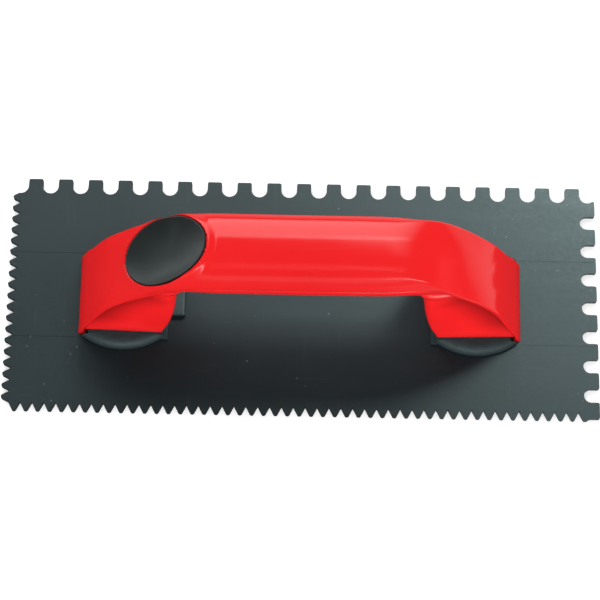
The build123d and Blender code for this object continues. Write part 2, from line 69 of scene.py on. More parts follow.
# Cross-sections from the left foot to the right foot. Each stands on a pivot on the bow's inner
# side and reaches outwards from it: "across" is along Y, "out" leads away from the pivot.
#   pivot x from the handle's centre, pivot z, turn of "out" above the horizontal (degrees),
#   depth of the flank, inner half width, inner corner radius, outer half width, crown height,
#   seam between liner and shell, recess of the liner at the seam, share of the round grip form
PIVOT_X, PIVOT_Z, TURN, DEPTH, W_IN, R_IN, W_OUT, CROWN, SEAM, RECESS, ROUND = range(11)
STATIONS = [
    (-64.2, 2.6, 0.0, 40.15, 20.0, 1.5, 19.60, 0.00, 36.60, 0.3, 0.00),
    (-64.2, 8.0, 0.0, 37.99, 20.0, 1.5, 19.40, 0.00, 36.89, 0.3, 0.00),
    (-61.2, 15.5, 3.0, 36.77, 19.4, 2.0, 18.49, 0.28, 35.27, 1.7, 0.00),
    (-58.6, 27.0, 9.0, 32.86, 18.8, 2.5, 17.72, 0.00, 30.96, 2.9, 0.00),
    (-57.0, 37.0, 18.0, 25.49, 18.2, 3.0, 17.35, 1.84, 22.69, 2.8, 0.02),
    (-56.2, 44.0, 30.0, 18.79, 17.6, 3.5, 17.43, 3.82, 14.63, 1.8, 0.08),
    (-55.4, 48.2, 44.0, 14.72, 16.6, 4.0, 17.86, 4.77, 10.66, 0.6, 0.20),
    (-53.9, 50.4, 58.0, 12.55, 15.0, 5.0, 18.32, 5.13, 9.55, 0.0, 0.40),
    (-51.0, 51.0, 72.0, 12.91, 14.0, 6.0, 18.44, 4.67, 11.13, 0.0, 0.65),
    (-46.0, 51.0, 84.0, 15.66, 13.0, 7.0, 18.07, 4.97, 13.46, 0.0, 0.88),
    (-38.0, 50.8, 90.0, 17.50, 12.0, 8.0, 17.30, 7.00, 14.60, 0.0, 1.00),
    (-19.0, 50.6, 90.0, 18.00, 12.0, 8.0, 17.30, 7.00, 14.80, 0.0, 1.00),
    (0.0, 50.5, 90.0, 17.80, 12.0, 8.0, 17.30, 7.00, 14.80, 0.0, 1.00),
    (19.0, 50.6, 90.0, 18.00, 12.0, 8.0, 17.20, 7.00, 14.80, 0.0, 1.00),
    (38.0, 50.8, 90.0, 17.53, 12.0, 8.0, 17.20, 7.00, 14.60, 0.0, 0.97),
    (46.0, 51.0, 84.0, 18.80, 13.0, 7.0, 17.67, 4.29, 14.89, 0.0, 0.80),
    (51.0, 51.0, 72.0, 17.88, 14.0, 6.0, 17.70, 3.50, 13.94, 0.0, 0.50),
    (53.9, 50.4, 58.0, 17.16, 15.0, 5.0, 17.32, 3.53, 14.60, 0.3, 0.25),
    (55.4, 48.2, 44.0, 18.52, 16.6, 4.0, 17.02, 3.22, 16.17, 1.1, 0.08),
    (56.2, 44.0, 30.0, 22.05, 17.6, 3.5, 16.73, 2.24, 19.77, 2.2, 0.02),
    (57.0, 37.0, 18.0, 27.94, 18.2, 3.0, 16.39, 0.78, 25.69, 2.9, 0.00),
    (58.6, 27.0, 9.0, 33.74, 18.8, 2.5, 16.71, 0.00, 31.84, 2.9, 0.00),
    (61.2, 15.5, 3.0, 36.83, 19.4, 2.0, 18.02, 0.37, 35.33, 1.7, 0.00),
    (64.2, 8.0, 0.0, 37.96, 20.0, 1.5, 19.40, 0.00, 36.86, 0.3, 0.00),
    (64.2, 2.6, 0.0, 40.15, 20.0, 1.5, 19.60, 0.00, 36.60, 0.3, 0.00),
]
STATION_STEP = 0.55
STATION_BLUR = 2.2                   # sigma of the smoothing along the bow
MEASURE_DEPTH = 0.8                  # share of the depth at which the bow's length is measured

# the round grip form: whole height, height and half width at its widest, half width of its flat
GRIP_H, GRIP_MID, GRIP_HALF, GRIP_FLAT = 25.6, 14.0, 18.2, 9.0

WALL = 2.4
SEAM_GAP = 0.22
SEAM_RADIUS, SEAM_PULL = 0.35, 0.8   # softened lower edge of the shell
CREASE_CUT = 1.05                    # length cut from flank and top by the rounded crease
FLANK_POINTS, CREASE_POINTS, TOP_POINTS = 12, 8, 46
LIP_POINTS = 12                      # liner wall points drawn up to the seam

LEDGE_Z = 57.2                       # step across the liner's flanks
LEDGE_OUT, LEDGE_IN = 0.55, 0.75     # how far it swells below and sinks above
LEDGE_MIN_Y = 12.0

# ------------------------------------------------------------------ thumb pad dimensions (mm)
# u runs up the shoulder towards the grip, v along Y, w square to the pad's plane
PAD_TILT = math.radians(37.0)
PAD_U = np.array([math.cos(PAD_TILT), 0, math.sin(PAD_TILT)])
PAD_V = np.array([0, 1, 0])
PAD_W = np.array([-math.sin(PAD_TILT), 0, math.cos(PAD_TILT)])
PAD_SHIFT_U, PAD_SHIFT_V = 0.8, 0.6
PAD_CENTRE = np.array([-65.6, HANDLE_Y, 67.0]) + PAD_U * PAD_SHIFT_U + PAD_V * PAD_SHIFT_V
PAD_A, PAD_B = 23.0, 16.3            # pocket's half axes along u and v
PAD_PLAY = 0.14
PAD_DISH = 2.6
POCKET_FLOOR = -9.6
RIM_HEIGHT = 1.05
OUTLINES, SNAP_REACH = (0.0, -0.35), 0.17    # outlines that take grid points, and from how far
PAD_SEGMENTS = 192
PAD_FLAT_RINGS, PAD_DISH_END = 36, 0.955
# radius share and drop of the rings around the pad's edge
PAD_EDGE = (
    (0.966, 0.02), (0.976, 0.0), (0.985, -0.06), (0.992, -0.16),
    (0.997, -0.32), (1.0, -0.55), (1.0, -1.8),
)
PAD_UNDERSIDE = (0.995, 0.8, 0.5, 0.05)
PAD_UNDER_GAP = 0.25
RAY_START, RAY_REACH = 30.0, 80.0    # probe from above the pad's plane


# ------------------------------------------------------------------ curves and stations
def ease(x, start, end):
    """Smooth step from 0 at start to 1 at end."""
    t = np.clip((x - start) / (end - start), 0, 1)
    return t * t * (3 - 2 * t)


def run_lengths(points):
    return np.r_[0, np.cumsum(np.hypot(*np.diff(points, axis=0).T))]


def points_along(curve, distance):
    lengths = run_lengths(curve)
    return np.stack([np.interp(distance, lengths, curve[:, axis]) for axis in (0, 1)], axis=-1)


def monotone_slopes(xs, ys):
    """Slopes that keep a cubic blend from overshooting."""
    gaps = np.diff(xs)
    chords = np.diff(ys) / gaps
    out = np.zeros(len(xs))
    out[0], out[-1] = chords[0], chords[-1]
    for i in range(1, len(chords)):
        before, after = chords[i - 1], chords[i]
        if before * after > 0:
            w_before = 2 * gaps[i] + gaps[i - 1]
            w_after = gaps[i] + 2 * gaps[i - 1]
            out[i] = (w_before + w_after) / (w_before / before + w_after / after)
    return out


def dense_stations(table):
    """Stations at an even step, blended, then slightly smoothed so that reflections run clean."""
    table = np.array(table, float)
    side = np.where(table[:, PIVOT_X] <= 0, -1.0, 1.0)
    turn = np.radians(table[:, TURN])
    x = table[:, PIVOT_X] + side * table[:, DEPTH] * MEASURE_DEPTH * np.cos(turn)
    z = table[:, PIVOT_Z] + table[:, DEPTH] * MEASURE_DEPTH * np.sin(turn)
    at = run_lengths(np.c_[x, z])
    count = int(round(at[-1] / STATION_STEP)) + 1
    place_at = np.linspace(0, at[-1], count)
    i = np.clip(np.searchsorted(at, place_at, side="right") - 1, 0, len(at) - 2)
    span = at[i + 1] - at[i]
    u = (place_at - at[i]) / span

    sigma = STATION_BLUR / STATION_STEP
    reach = int(3 * sigma)
    kernel = np.exp(-0.5 * (np.arange(-reach, reach + 1) / sigma) ** 2)
    kernel /= kernel.sum()

    out = np.zeros((count, table.shape[1]))
    for c in range(table.shape[1]):
        values = table[:, c]
        slope = monotone_slopes(at, values)
        column = (
            (1 + 2 * u) * (1 - u) ** 2 * values[i] + u * (1 - u) ** 2 * span * slope[i]
            + u * u * (3 - 2 * u) * values[i + 1] + u * u * (u - 1) * span * slope[i + 1]
        )
        # the ends are mirrored through their last value, so that they stay put
        head = 2 * column[0] - column[1 : reach + 1][::-1]
        tail = 2 * column[-1] - column[-reach - 1 : -1][::-1]
        out[:, c] = np.convolve(np.r_[head, column, tail], kernel, "valid")
    out[:, ROUND] = np.clip(out[:, ROUND], 0, 1)
    out[:, RECESS] = np.clip(out[:, RECESS], 0, None)
    return out


def bezier(p, t):
    t = np.asarray(t, float)[:, None]
    return ((1 - t) ** 3 * p[0] + 3 * (1 - t) ** 2 * t * p[1]
            + 3 * (1 - t) * t * t * p[2] + t**3 * p[3])


def split(p, t):
    """Cut a Bezier curve in two at t."""
    first, middle, last = (p[i] + (p[i + 1] - p[i]) * t for i in range(3))
    left = first + (middle - first) * t
    right = middle + (last - middle) * t
    cut = left + (right - left) * t
    return [p[0], first, left, cut], [cut, right, last, p[3]]


def height_param(p, height):
    """Where a rising Bezier curve reaches a height, by bisection."""
    lo, hi = 0.0, 1.0
    for _ in range(40):
        middle = (lo + hi) / 2
        if bezier(p, [middle])[0][1] < height:
            lo = middle
        else:
            hi = middle
    return (lo + hi) / 2


# ------------------------------------------------------------------ half sections (across, out)
def section_curves(row):
    """Bezier curves of a half section: inner corner, flank, top."""
    depth, w_in, r_in, w_out, crown = row[DEPTH : CROWN + 1]
    slope = (w_out - w_in) / depth
    w_corner = w_in + slope * r_in
    widen, rise = w_out - w_corner, depth - r_in
    boxy = np.array([
        [(w_in - r_in, 0), (w_in - r_in + KAPPA * r_in, 0),
         (w_in + slope * (1 - KAPPA) * r_in, (1 - KAPPA) * r_in), (w_corner, r_in)],
        [(w_corner, r_in), (w_corner + widen / 3, r_in + rise / 3),
         (w_corner + widen * 2 / 3, r_in + rise * 2 / 3), (w_out, depth)],
        [(w_out, depth), (w_out * 2 / 3, depth + crown * 2 / 3),
         (w_out / 3, depth + crown), (0, depth + crown)],
    ], float)
    arch = np.array([
        (GRIP_HALF, GRIP_MID), (GRIP_HALF, GRIP_MID + KAPPA * (GRIP_H - GRIP_MID)),
        (KAPPA * GRIP_HALF, GRIP_H), (0, GRIP_H),
    ], float)
    grip = np.array([
        [(GRIP_FLAT, 0), (GRIP_FLAT + KAPPA * (GRIP_HALF - GRIP_FLAT), 0),
         (GRIP_HALF, GRIP_MID * (1 - KAPPA)), (GRIP_HALF, GRIP_MID)],
        *split(arch, 0.5),
    ], float)
    return boxy * (1 - row[ROUND]) + grip * row[ROUND]


def shell_half(row):
    """Outer half section of the shell from the seam to the crest, with a rounded crease."""
    _, flank, top = section_curves(row)
    seam = row[SEAM] + SEAM_GAP
    _, upper = split(flank, height_param(flank, seam))
    side = bezier(upper, np.linspace(0, 1, 60))
    top = bezier(top, np.linspace(0, 1, 120))
    side_length, top_length = run_lengths(side)[-1], run_lengths(top)[-1]
    side_end = side_length - min(CREASE_CUT, side_length * 0.7)
    side_points = points_along(side, np.linspace(0, side_end, FLANK_POINTS, endpoint=False))
    t = np.linspace(0, 1, CREASE_POINTS)[:, None]
    start, corner, end = points_along(side, side_end), side[-1], points_along(top, CREASE_CUT)
    crease = (1 - t) ** 2 * start + 2 * t * (1 - t) * corner + t**2 * end
    top_points = points_along(top, np.linspace(CREASE_CUT, top_length, TOP_POINTS)[1:])
    out = np.vstack([side_points, crease, top_points])
    # soften the seam's edge
    low = out[:, 1] < seam + SEAM_RADIUS
    share = (seam + SEAM_RADIUS - out[low, 1]) / SEAM_RADIUS
    out[low, 0] -= SEAM_RADIUS * (1 - np.sqrt(np.clip(1 - share**2, 0, 1))) * SEAM_PULL
    return out


def thinned(outer, whole):
    """Inner face of the wall behind an outer half section, point for point."""
    narrow = 1 - WALL / max(outer[:, 0].max(), 1e-6)
    return np.c_[outer[:, 0] * narrow, WALL + outer[:, 1] * (1 - 2 * WALL / whole)]


def shell_inner(row, outer):
    wall = thinned(outer, outer[-1, 1])
    wall[:, 1] = np.maximum(wall[:, 1], row[SEAM] + SEAM_GAP)
    return wall


def liner_half(row):
    """Outer half section of the liner from its inner flat to the seam."""
    corner, flank, _ = section_curves(row)
    recess = row[RECESS]
    lower, _ = split(flank, min(0.999, height_param(flank, row[SEAM])))
    lower[2] = lower[2] - np.array([recess * 0.9, 0])
    lower[3] = lower[3] - np.array([recess, 0])
    flat = np.linspace(0, corner[0][0], 10, endpoint=False)
    return np.vstack([
        np.c_[flat, np.zeros(len(flat))],
        bezier(corner, np.linspace(0, 1, 16)),
        bezier(lower, np.linspace(0, 1, 40))[1:],
    ])


def liner_inner(row, outer):
    wall = thinned(outer, section_curves(row)[2][3][1])
    wall[-1, 1] = outer[-1, 1]
    k = np.linspace(0, 1, LIP_POINTS)
    lip, edge = wall[-LIP_POINTS:, 1], outer[-LIP_POINTS:, 1]
    wall[-LIP_POINTS:, 1] = lip * (1 - k) + np.maximum(lip, edge) * k
    return wall


# ------------------------------------------------------------------ building meshes
def place(row, points):
    """(across, out) -> xyz in mm."""
    side = -1.0 if row[PIVOT_X] <= 0 else 1.0
    turn = math.radians(row[TURN])
    x = HANDLE_X + row[PIVOT_X] + side * math.cos(turn) * points[:, 1]
    z = row[PIVOT_Z] + math.sin(turn) * points[:, 1]
    return np.c_[x, HANDLE_Y + points[:, 0], z]


def grid_object(name, loops, piece):
    """Mesh through equal closed loops of points (mm), capped, standing in for a CAD piece."""
    n, m = loops.shape[:2]
    faces = []
    for i in range(n - 1):
        for j in range(m):
            k = (j + 1) % m
            faces.append((i * m + j, i * m + k, (i + 1) * m + k, (i + 1) * m + j))
    mesh = bpy.data.meshes.new(name)
    mesh.from_pydata((loops.reshape(-1, 3) * MM).tolist(), [], faces)
    obj = bpy.data.objects.new(name, mesh)
    bpy.context.collection.objects.link(obj)
    bm = bmesh.new()
    bm.from_mesh(mesh)
    bmesh.ops.remove_doubles(bm, verts=bm.verts, dist=1e-7)
    edges = [e for e in bm.edges if e.is_boundary]
    if edges:
        bmesh.ops.holes_fill(bm, edges=edges, sides=0)
    bmesh.ops.recalc_face_normals(bm, faces=bm.faces)
    bm.to_mesh(mesh)
    bm.free()
    mesh.shade_smooth()
    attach(obj, "root")
    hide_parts(piece)
    return obj


def pad_coords(points):
    offset = points - PAD_CENTRE
    return offset @ PAD_U, offset[:, 1], offset @ PAD_W


def pad_point(u, v, w):
    outer = np.multiply.outer
    return PAD_CENTRE + outer(u, PAD_U) + outer(v, PAD_V) + outer(w, PAD_W)


def pad_distance(u, v):
    """Signed distance from the pocket's outline, outside positive."""
    rho = np.sqrt((u / PAD_A) ** 2 + (v / PAD_B) ** 2) + 1e-9
    steepness = np.sqrt((u / PAD_A**2) ** 2 + (v / PAD_B**2) ** 2) / rho + 1e-9
    return (rho - 1) / steepness


def rim_gain(angle):
    """The rim stands proud towards the grip and dies out down the slope."""
    return 0.25 + 0.75 * np.clip(0.5 + 0.62 * np.cos(angle + 0.45), 0, 1) ** 1.2


# ------------------------------------------------------------------ red shell
def shell_grids(rows):
    """Outer and inner points of the shell's wall, station by station."""
    outer, inner = [], []
    for row in rows:
        half = shell_half(row)
        for grid, part in ((outer, half), (inner, shell_inner(row, half))):
            grid.append(place(row, np.vstack([part * [-1, 1], part[:-1][::-1]])))
    return np.array(outer), np.array(inner)


def grid_tree(grid):
    n, m = grid.shape[:2]
    return BVHTree.FromPolygons(
        grid.reshape(-1, 3).tolist(),
        [
            (i * m + j, i * m + j + 1, (i + 1) * m + j + 1, (i + 1) * m + j)
            for i in range(n - 1)
            for j in range(m - 1)
        ],
    )


def shoulder_height(shoulder, u, v):
    """Height of the bare shoulder over the pad's plane, or nan beside it."""
    start = pad_point(u, v, RAY_START)
    hit = shoulder.ray_cast(Vector(start), Vector(-PAD_W), RAY_REACH)
    return RAY_START - hit[3] if hit[0] is not None else np.nan


def grid_normals(grid):
    normals = np.cross(np.gradient(grid, axis=1), np.gradient(grid, axis=0))
    normals /= np.linalg.norm(normals, axis=2, keepdims=True) + 1e-12
    # the middle of the grid is the top of the grip
    if normals[len(grid) // 2, grid.shape[1] // 2, 2] < 0:
        normals = -normals
    return normals.reshape(-1, 3)


def with_pocket(outer, shoulder):
    """Raise the rim and sink the pad's pocket into the outer grid."""
    points = outer.reshape(-1, 3).copy()
    u, v, w = pad_coords(points)
    distance = pad_distance(u, v)
    near = (w > -14) & (points[:, 2] > 40) & (points[:, 0] < -30)
    # pull the nearest points onto the pocket's outline, so that its edge runs clean
    away = np.c_[u / PAD_A**2, v / PAD_B**2]
    away /= np.linalg.norm(away, axis=1, keepdims=True) + 1e-9
    for target in OUTLINES:
        for i in np.nonzero(near & (np.abs(distance - target) < SNAP_REACH))[0]:
            at_u, at_v = np.array([u[i], v[i]]) - away[i] * (distance[i] - target)
            height = shoulder_height(shoulder, at_u, at_v)
            if not np.isnan(height):
                points[i] = pad_point(at_u, at_v, height)
    u, v, _ = pad_coords(points)
    distance = pad_distance(u, v)
    angle = np.arctan2(v / PAD_B, u / PAD_A)
    rim = (1 - ease(distance, 0.3, 3.6)) * RIM_HEIGHT * rim_gain(angle)
    lift = np.where(near & (distance > -0.3), rim, 0.0)
    inside = np.where(near, 1 - ease(distance, -0.36, -0.02), 0.0)
    points = points + grid_normals(outer) * lift[:, None]
    height = pad_coords(points)[2]
    points = points + PAD_W * ((POCKET_FLOOR - height) * inside)[:, None]
    return points.reshape(outer.shape)


def below_pocket(inner):
    """Push the wall's inner face down under the pocket."""
    points = inner.reshape(-1, 3)
    u, v, w = pad_coords(points)
    near = (w > -17) & (points[:, 2] > 38) & (points[:, 0] < -30)
    share = np.where(near, 1 - ease(pad_distance(u, v), 0.5, 2.2), 0.0)
    down = share * np.clip(w - (POCKET_FLOOR - 2.0), 0, None)
    return (points - PAD_W * down[:, None]).reshape(inner.shape)


def build_shell(outer, inner, shoulder):
    loops = [with_pocket(outer, shoulder), below_pocket(inner)[:, ::-1]]
    return grid_object("handle_shell_skin", np.concatenate(loops, axis=1), "handle_shell")


# ------------------------------------------------------------------ red liner
def under_edge_share(row, half):
    """How much each point lies in the hollow under the shell's edge, which sets the shadow
    painted there.
    """
    on_leg = float(ease(row[PIVOT_Z], 6.0, 20.0) * (1 - ease(row[PIVOT_Z], 40.0, 48.5)))
    to_seam = 1 - ease(row[SEAM] - half[:, 1], 1.5, 19.0)
    return on_leg * to_seam * ease(half[:, 0], 8.0, 12.0)


def add_ledge(grid):
    """Step across the flanks near both ends of the grip: swollen below, sunk above."""
    from_x = np.abs(grid[:, :, 0] - HANDLE_X)
    from_y = grid[:, :, 1] - HANDLE_Y
    z = grid[:, :, 2]
    zone = (np.abs(from_y) > LEDGE_MIN_Y) * ease(from_x, 53.5, 55.5)
    zone = zone * (1 - ease(from_x, 69.0, 72.5))
    step = ease(z, LEDGE_Z - 0.35, LEDGE_Z + 0.35)
    above = step * (1 - ease(z, LEDGE_Z + 2.5, LEDGE_Z + 6.5))
    below = (1 - step) * ease(z, LEDGE_Z - 6.0, LEDGE_Z - 1.0)
    grid[:, :, 1] += np.sign(from_y) * zone * (LEDGE_OUT * below - LEDGE_IN * above)


def build_liner(rows):
    outer, inner, shares = [], [], []
    for row in rows:
        if row[PIVOT_Z] <= FOOT_TOP - 0.05:
            continue
        half = liner_half(row)
        share = under_edge_share(row, half)
        shares.append(np.r_[share[::-1], share[1:]])
        for grid, part in ((outer, half), (inner, liner_inner(row, half))):
            grid.append(place(row, np.vstack([(part * [-1, 1])[::-1], part[1:]])))
    outer, inner, shares = np.array(outer), np.array(inner), np.array(shares).reshape(-1)
    add_ledge(outer)
    loops = np.concatenate([outer, inner[:, ::-1]], axis=1)
    obj = grid_object("handle_liner_skin", loops, "handle_liner")

    # the shares go to the mesh by place, as welding has renumbered its vertices
    finder = KDTree(len(shares))
    for i, point in enumerate((outer.reshape(-1, 3) * MM).tolist()):
        finder.insert(point, i)
    finder.balance()
    # mask of the shadow painted under the shell's edge, read by the red material
    under = obj.data.attributes.new("painted_shadow_under_edge", "FLOAT", "POINT")
    for vert in obj.data.vertices:
        _, i, gap = finder.find(vert.co)
        under.data[vert.index].value = float(shares[i]) if gap < 0.0002 else 0.0
    return obj


# ------------------------------------------------------------------ thumb pad
def pad_rim_heights(shoulder, theta):
    """Height of the shoulder just inside the pocket's outline, filled in and smoothed."""
    inset = 0.25
    heights = np.array([
        shoulder_height(shoulder, (PAD_A - inset) * math.cos(t), (PAD_B - inset) * math.sin(t))
        for t in theta
    ])
    bad = np.isnan(heights)
    heights[bad] = np.interp(theta[bad], theta[~bad], heights[~bad], period=2 * math.pi)
    reach = 8
    kernel = np.exp(-0.5 * (np.arange(-reach, reach + 1) / 3.0) ** 2)
    kernel /= kernel.sum()
    return np.convolve(np.r_[heights[-reach:], heights, heights[:reach]], kernel, "valid")


def build_pad(shoulder):
    theta = np.linspace(0, 2 * math.pi, PAD_SEGMENTS, endpoint=False)
    rim = pad_rim_heights(shoulder, theta)
    middle = rim.mean() - PAD_DISH
    edge = rim + 0.62 * rim_gain(theta) + 0.1        # follows the raised rim

    def dish(rho):
        return middle + (edge - middle) * (0.35 * rho**2 + 0.65 * rho**3.0)

    rings = [(rho, dish(rho)) for rho in np.linspace(0.03, PAD_DISH_END, PAD_FLAT_RINGS)]
    top = dish(PAD_DISH_END)
    for rho, drop in PAD_EDGE:
        share = ease(rho, PAD_DISH_END, 0.975)
        rings.append((rho, top + (edge - top) * share * 0.35 + drop))
    for rho in PAD_UNDERSIDE:
        rings.append((rho, np.full(PAD_SEGMENTS, POCKET_FLOOR + PAD_UNDER_GAP)))
    half_u, half_v = PAD_A - PAD_PLAY, PAD_B - PAD_PLAY
    loops = np.array([
        pad_point(rho * half_u * np.cos(theta), rho * half_v * np.sin(theta), height)
        for rho, height in rings
    ])
    return grid_object("thumb_pad_dish", loops, "thumb_pad")


stations = dense_stations(STATIONS)
shell_outer, shell_wall = shell_grids(stations)
bare_shoulder = grid_tree(shell_outer)
shell = build_shell(shell_outer, shell_wall, bare_shoulder)
liner = build_liner(stations)
pad = build_pad(bare_shoulder)


# ------------------------------------------------------------------ node shorthand
class Net:
    """Shorthand for building a node tree."""

    def __init__(self, tree):
        self.tree = tree

    @cached_property
    def coord(self):
        return self.node("TexCoord").outputs["Object"]

    def put(self, socket, value):
        if isinstance(value, bpy.types.NodeSocket):
            self.tree.links.new(value, socket)
        else:
            socket.default_value = value

    def fill(self, node, inputs):
        for key, value in inputs.items():
            self.put(node.inputs[key], value)

    def node(self, kind, inputs={}, **settings):
        node = self.tree.nodes.new("ShaderNode" + kind)
        for key, value in settings.items():
            setattr(node, key, value)
        self.fill(node, inputs)
        return node

    def mapping(self, stretch, turn=(0, 0, 0)):
        inputs = {"Vector": self.coord, "Scale": stretch, "Rotation": turn}
        return self.node("Mapping", inputs).outputs[0]

    def noise(self, scale, detail=4.0, rough=0.55, vec=None, distortion=0.0):
        return self.node("TexNoise", {
            "Vector": self.coord if vec is None else vec, "Scale": scale,
            "Detail": detail, "Roughness": rough, "Distortion": distortion,
        }).outputs["Fac"]

    def ramp(self, value, lo=0.3, hi=0.7, to_lo=0.0, to_hi=1.0):
        """Map lo..hi to to_lo..to_hi; by default the usual spread of a noise to 0..1."""
        return self.node("MapRange", {
            "Value": value, "From Min": lo, "From Max": hi, "To Min": to_lo, "To Max": to_hi,
        }, clamp=True).outputs["Result"]

    def fade(self, value, lo, hi):
        return self.ramp(value, lo, hi, to_lo=1.0, to_hi=0.0)

    def path(self, kind):
        return self.node("LightPath").outputs[kind]

    def split_xyz(self, vector):
        return self.node("SeparateXYZ", {0: vector}).outputs

    def math(self, operation, a, b):
        return self.node("Math", {0: a, 1: b, 2: 0.0}, operation=operation).outputs[0]

    def times(self, a, b):
        return self.math("MULTIPLY", a, b)

    def adding(self, base, mask, amount):
        return self.math("ADD", base, self.times(mask, amount))

    def less(self, base, mask, amount):
        return self.math("SUBTRACT", base, self.times(mask, amount))

    def mix(self, share, a, b):
        return self.node("Mix", {0: share, 6: a, 7: b}, data_type="RGBA").outputs[2]

    def tint(self, base, mask, amount, colour):
        return self.mix(self.times(mask, amount), base, colour)

    def bumps(self, *layers):
        """Bump nodes in a row from (height, strength, distance in metres)."""
        normal = None
        for height, strength, distance in layers:
            inputs = {"Strength": strength, "Distance": distance, "Height": height}
            if normal is not None:
                inputs["Normal"] = normal
            normal = self.node("Bump", inputs).outputs[0]
        return normal

    def scratches(self, scale, stretch, turn, start):
        lines = self.noise(scale, detail=2, rough=0.4, vec=self.mapping(stretch, turn))
        return self.ramp(lines, lo=start, hi=start + 0.03)

    def specks(self, scale, size, patch_scale, patch):
        """Dots whose edge fades over size, only where a broader noise rises through patch."""
        cells = self.node("TexVoronoi", {"Vector": self.coord, "Scale": scale})
        dots = self.fade(cells.outputs["Distance"], *size)
        return self.times(dots, self.ramp(self.noise(patch_scale, detail=2, rough=0.5), *patch))


def new_material(name):
    mat = bpy.data.materials.new(name)
    mat.use_nodes = True
    mat.node_tree.nodes.clear()
    net = Net(mat.node_tree)
    output = net.node("OutputMaterial")
    bsdf = net.node("BsdfPrincipled")
    net.put(output.inputs[0], bsdf.outputs[0])
    return mat, net, bsdf, output


# ------------------------------------------------------------------ materials
def blade_material():
    mat, net, bsdf, _ = new_material("blade_moulded")
    fine = net.noise(scale=2600, detail=3, rough=0.6)
    mid = net.noise(scale=420, detail=4, rough=0.6)
    broad = net.noise(scale=14, detail=3, rough=0.5)
    flow = net.noise(scale=26, detail=4, rough=0.6, vec=net.mapping(stretch=(0.3, 2.4, 1)),
                     distortion=0.7)
    specks = net.specks(scale=240, size=(0.06, 0.13), patch_scale=90, patch=(0.57, 0.63))
    scratches = net.math(
        "MAXIMUM",
        net.scratches(scale=60, stretch=(0.6, 14, 1), turn=(0, 0, 0.5), start=0.69),
        net.scratches(scale=60, stretch=(14, 0.5, 1), turn=(0, 0, 0.35), start=0.70),
    )
    base = net.mix(net.ramp(broad), (0.0060, 0.0105, 0.0135, 1), (0.0085, 0.0140, 0.0170, 1))
    base = net.tint(base, net.ramp(flow, lo=0.45), amount=0.4,
                    colour=(0.0105, 0.0160, 0.0180, 1))
    base = net.tint(base, specks, amount=0.6, colour=(0.14, 0.15, 0.15, 1))
    base = net.tint(base, scratches, amount=0.05, colour=(0.12, 0.13, 0.13, 1))
    # painted light: the raised parts are painted paler, as if more lit, and they are rougher
    raised = net.ramp(net.split_xyz(net.coord)[2], lo=0.0027, hi=0.0040)
    painted_lit_tone = net.mix(net.ramp(mid, lo=0.35, hi=0.65),
                   (0.0200, 0.0290, 0.0320, 1), (0.0270, 0.0380, 0.0410, 1))
    rough = net.adding(net.ramp(mid, to_lo=0.36, to_hi=0.42), net.ramp(broad), amount=0.04)
    rough = net.adding(rough, raised, amount=0.10)
    rough = net.adding(rough, net.ramp(flow, lo=0.45), amount=-0.03)
    net.fill(bsdf, {
        "Base Color": net.mix(raised, base, painted_lit_tone),
        "Roughness": rough,
        "Specular IOR Level": net.less(0.64, net.path("Is Glossy Ray"), amount=0.5),
        "Specular Tint": (0.84, 1.0, 1.0, 1),
        "Normal": net.bumps((mid, 0.06, 0.0004), (fine, 0.12, 0.00012),
                            (scratches, 0.05, 0.00006), (specks, 0.2, 0.00012)),
    })
    return mat


def red_material():
    mat, net, bsdf, _ = new_material("handle_red")
    broad = net.noise(scale=18, detail=2, rough=0.5)
    mid = net.noise(scale=120, detail=2, rough=0.5)
    peel = net.noise(scale=1500, detail=2, rough=0.5)
    flow = net.noise(scale=30, detail=3, rough=0.5, vec=net.mapping(stretch=(0.25, 1.4, 1.4)),
                     distortion=0.4)
    scratches = net.scratches(scale=38, stretch=(0.7, 12, 12), turn=(0.2, 0.1, 0.25), start=0.70)
    base = net.mix(net.ramp(broad), (0.445, 0.0068, 0.0080, 1), (0.475, 0.0080, 0.0090, 1))
    base = net.tint(base, net.ramp(flow, lo=0.45), amount=0.3, colour=(0.50, 0.0110, 0.0125, 1))
    # painted shade: darker in the corners, where little light comes, and in the hollow under the
    # shell's edge
    occlusion_shade = net.node("AmbientOcclusion", {"Distance": 0.008}, samples=6)
    # painted shadow under the shell's edge, from the liner's mask
    under = net.node("Attribute", attribute_name="painted_shadow_under_edge")
    corner = net.ramp(occlusion_shade.outputs["AO"], lo=0.35, hi=0.92, to_lo=0.42, to_hi=1.0)
    corner = net.times(corner, net.less(1.0, under.outputs["Fac"], amount=0.50))
    # painted shade: glossy rays see the red darker than it is, so other pieces mirror less of it
    dimmed_in_mirrors = net.less(1.0, net.path("Is Glossy Ray"), amount=0.55)
    # painted glow: camera rays see a faint red glow that evens out the shade, dimmed where shade
    # is painted
    painted_glow = 0.24
    net.fill(bsdf, {
        "Base Color": net.mix(net.times(corner, dimmed_in_mirrors), (0.02, 0.001, 0.001, 1), base),
        "Roughness": net.adding(net.ramp(mid, to_lo=0.125, to_hi=0.155), scratches, amount=0.05),
        "Specular IOR Level": 0.42,
        "Emission Color": (1.0, 0.0185, 0.020, 1),
        "Emission Strength": net.times(net.times(net.path("Is Camera Ray"), corner), painted_glow),
        "Normal": net.bumps((peel, 0.012, 0.00012), (scratches, 0.03, 0.00004)),
    })
    return mat


